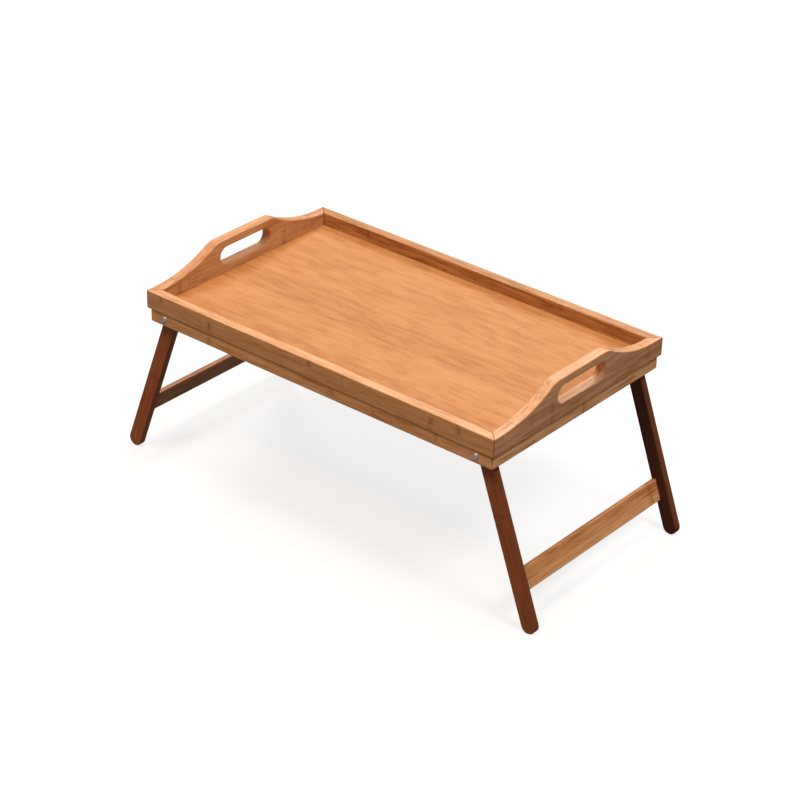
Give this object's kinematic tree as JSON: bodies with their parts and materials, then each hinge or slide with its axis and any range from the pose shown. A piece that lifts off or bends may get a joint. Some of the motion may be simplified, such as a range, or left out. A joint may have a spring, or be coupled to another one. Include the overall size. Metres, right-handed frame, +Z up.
{
  "type": "folding tray table",
  "caption": "Bamboo bed tray with raised handle ends and splayed leg frames that fold flat into the recess under the tray.",
  "frame": {"origin": "on the floor under the middle of the table, with both leg frames open", "axes": "+X along the tray to the right, +Y across the tray to the back, +Z up"},
  "size_m": [0.6048, 0.3, 0.2524],
  "materials": {
    "floor_bamboo": "satin laminated bamboo",
    "rail_bamboo": "satin laminated bamboo",
    "handle_bamboo": "satin laminated bamboo",
    "apron_bamboo": "satin laminated bamboo",
    "leg_bamboo": "satin dark stained bamboo",
    "stretcher_bamboo": "satin laminated bamboo",
    "dowel_wood": "plain beech",
    "bolt_steel": "bright plated",
    "nut_steel": "zinc plated",
    "screw_steel": "zinc plated",
    "spacer_nylon": "natural nylon"
  },
  "bodies": {
    "tray": {"tray_panel": "floor_bamboo", "front_rail": "rail_bamboo", "back_rail": "rail_bamboo", "left_handle_end": "handle_bamboo", "right_handle_end": "handle_bamboo", "tray_corner_dowels": "dowel_wood", "front_apron": "apron_bamboo", "back_apron": "apron_bamboo", "left_apron": "apron_bamboo", "right_apron": "apron_bamboo", "apron_corner_dowels": "dowel_wood", "apron_screws": "screw_steel", "front_left_bolt": "bolt_steel", "back_left_bolt": "bolt_steel", "front_right_bolt": "bolt_steel", "back_right_bolt": "bolt_steel", "front_left_spacer": "spacer_nylon", "back_left_spacer": "spacer_nylon", "front_right_spacer": "spacer_nylon", "back_right_spacer": "spacer_nylon", "front_left_washer": "nut_steel", "back_left_washer": "nut_steel", "front_right_washer": "nut_steel", "back_right_washer": "nut_steel", "front_left_lock_nut": "nut_steel", "back_left_lock_nut": "nut_steel", "front_right_lock_nut": "nut_steel", "back_right_lock_nut": "nut_steel"},
    "left_legs": {"front_left_leg": "leg_bamboo", "back_left_leg": "leg_bamboo", "left_stretcher": "stretcher_bamboo", "left_stretcher_dowels": "dowel_wood"},
    "right_legs": {"front_right_leg": "leg_bamboo", "back_right_leg": "leg_bamboo", "right_stretcher": "stretcher_bamboo", "right_stretcher_dowels": "dowel_wood"}
  },
  "joints": [
    {"name": "left_leg_fold", "type": "hinge", "parent": "tray", "child": "left_legs", "pos_m": [-0.22505, 0, 0.19694], "axis": [0, -1, 0], "range_deg": [0, 110]},
    {"name": "right_leg_fold", "type": "hinge", "parent": "tray", "child": "right_legs", "pos_m": [0.22505, 0, 0.19694], "axis": [0, 1, 0], "range_deg": [0, 110]}
  ]
}
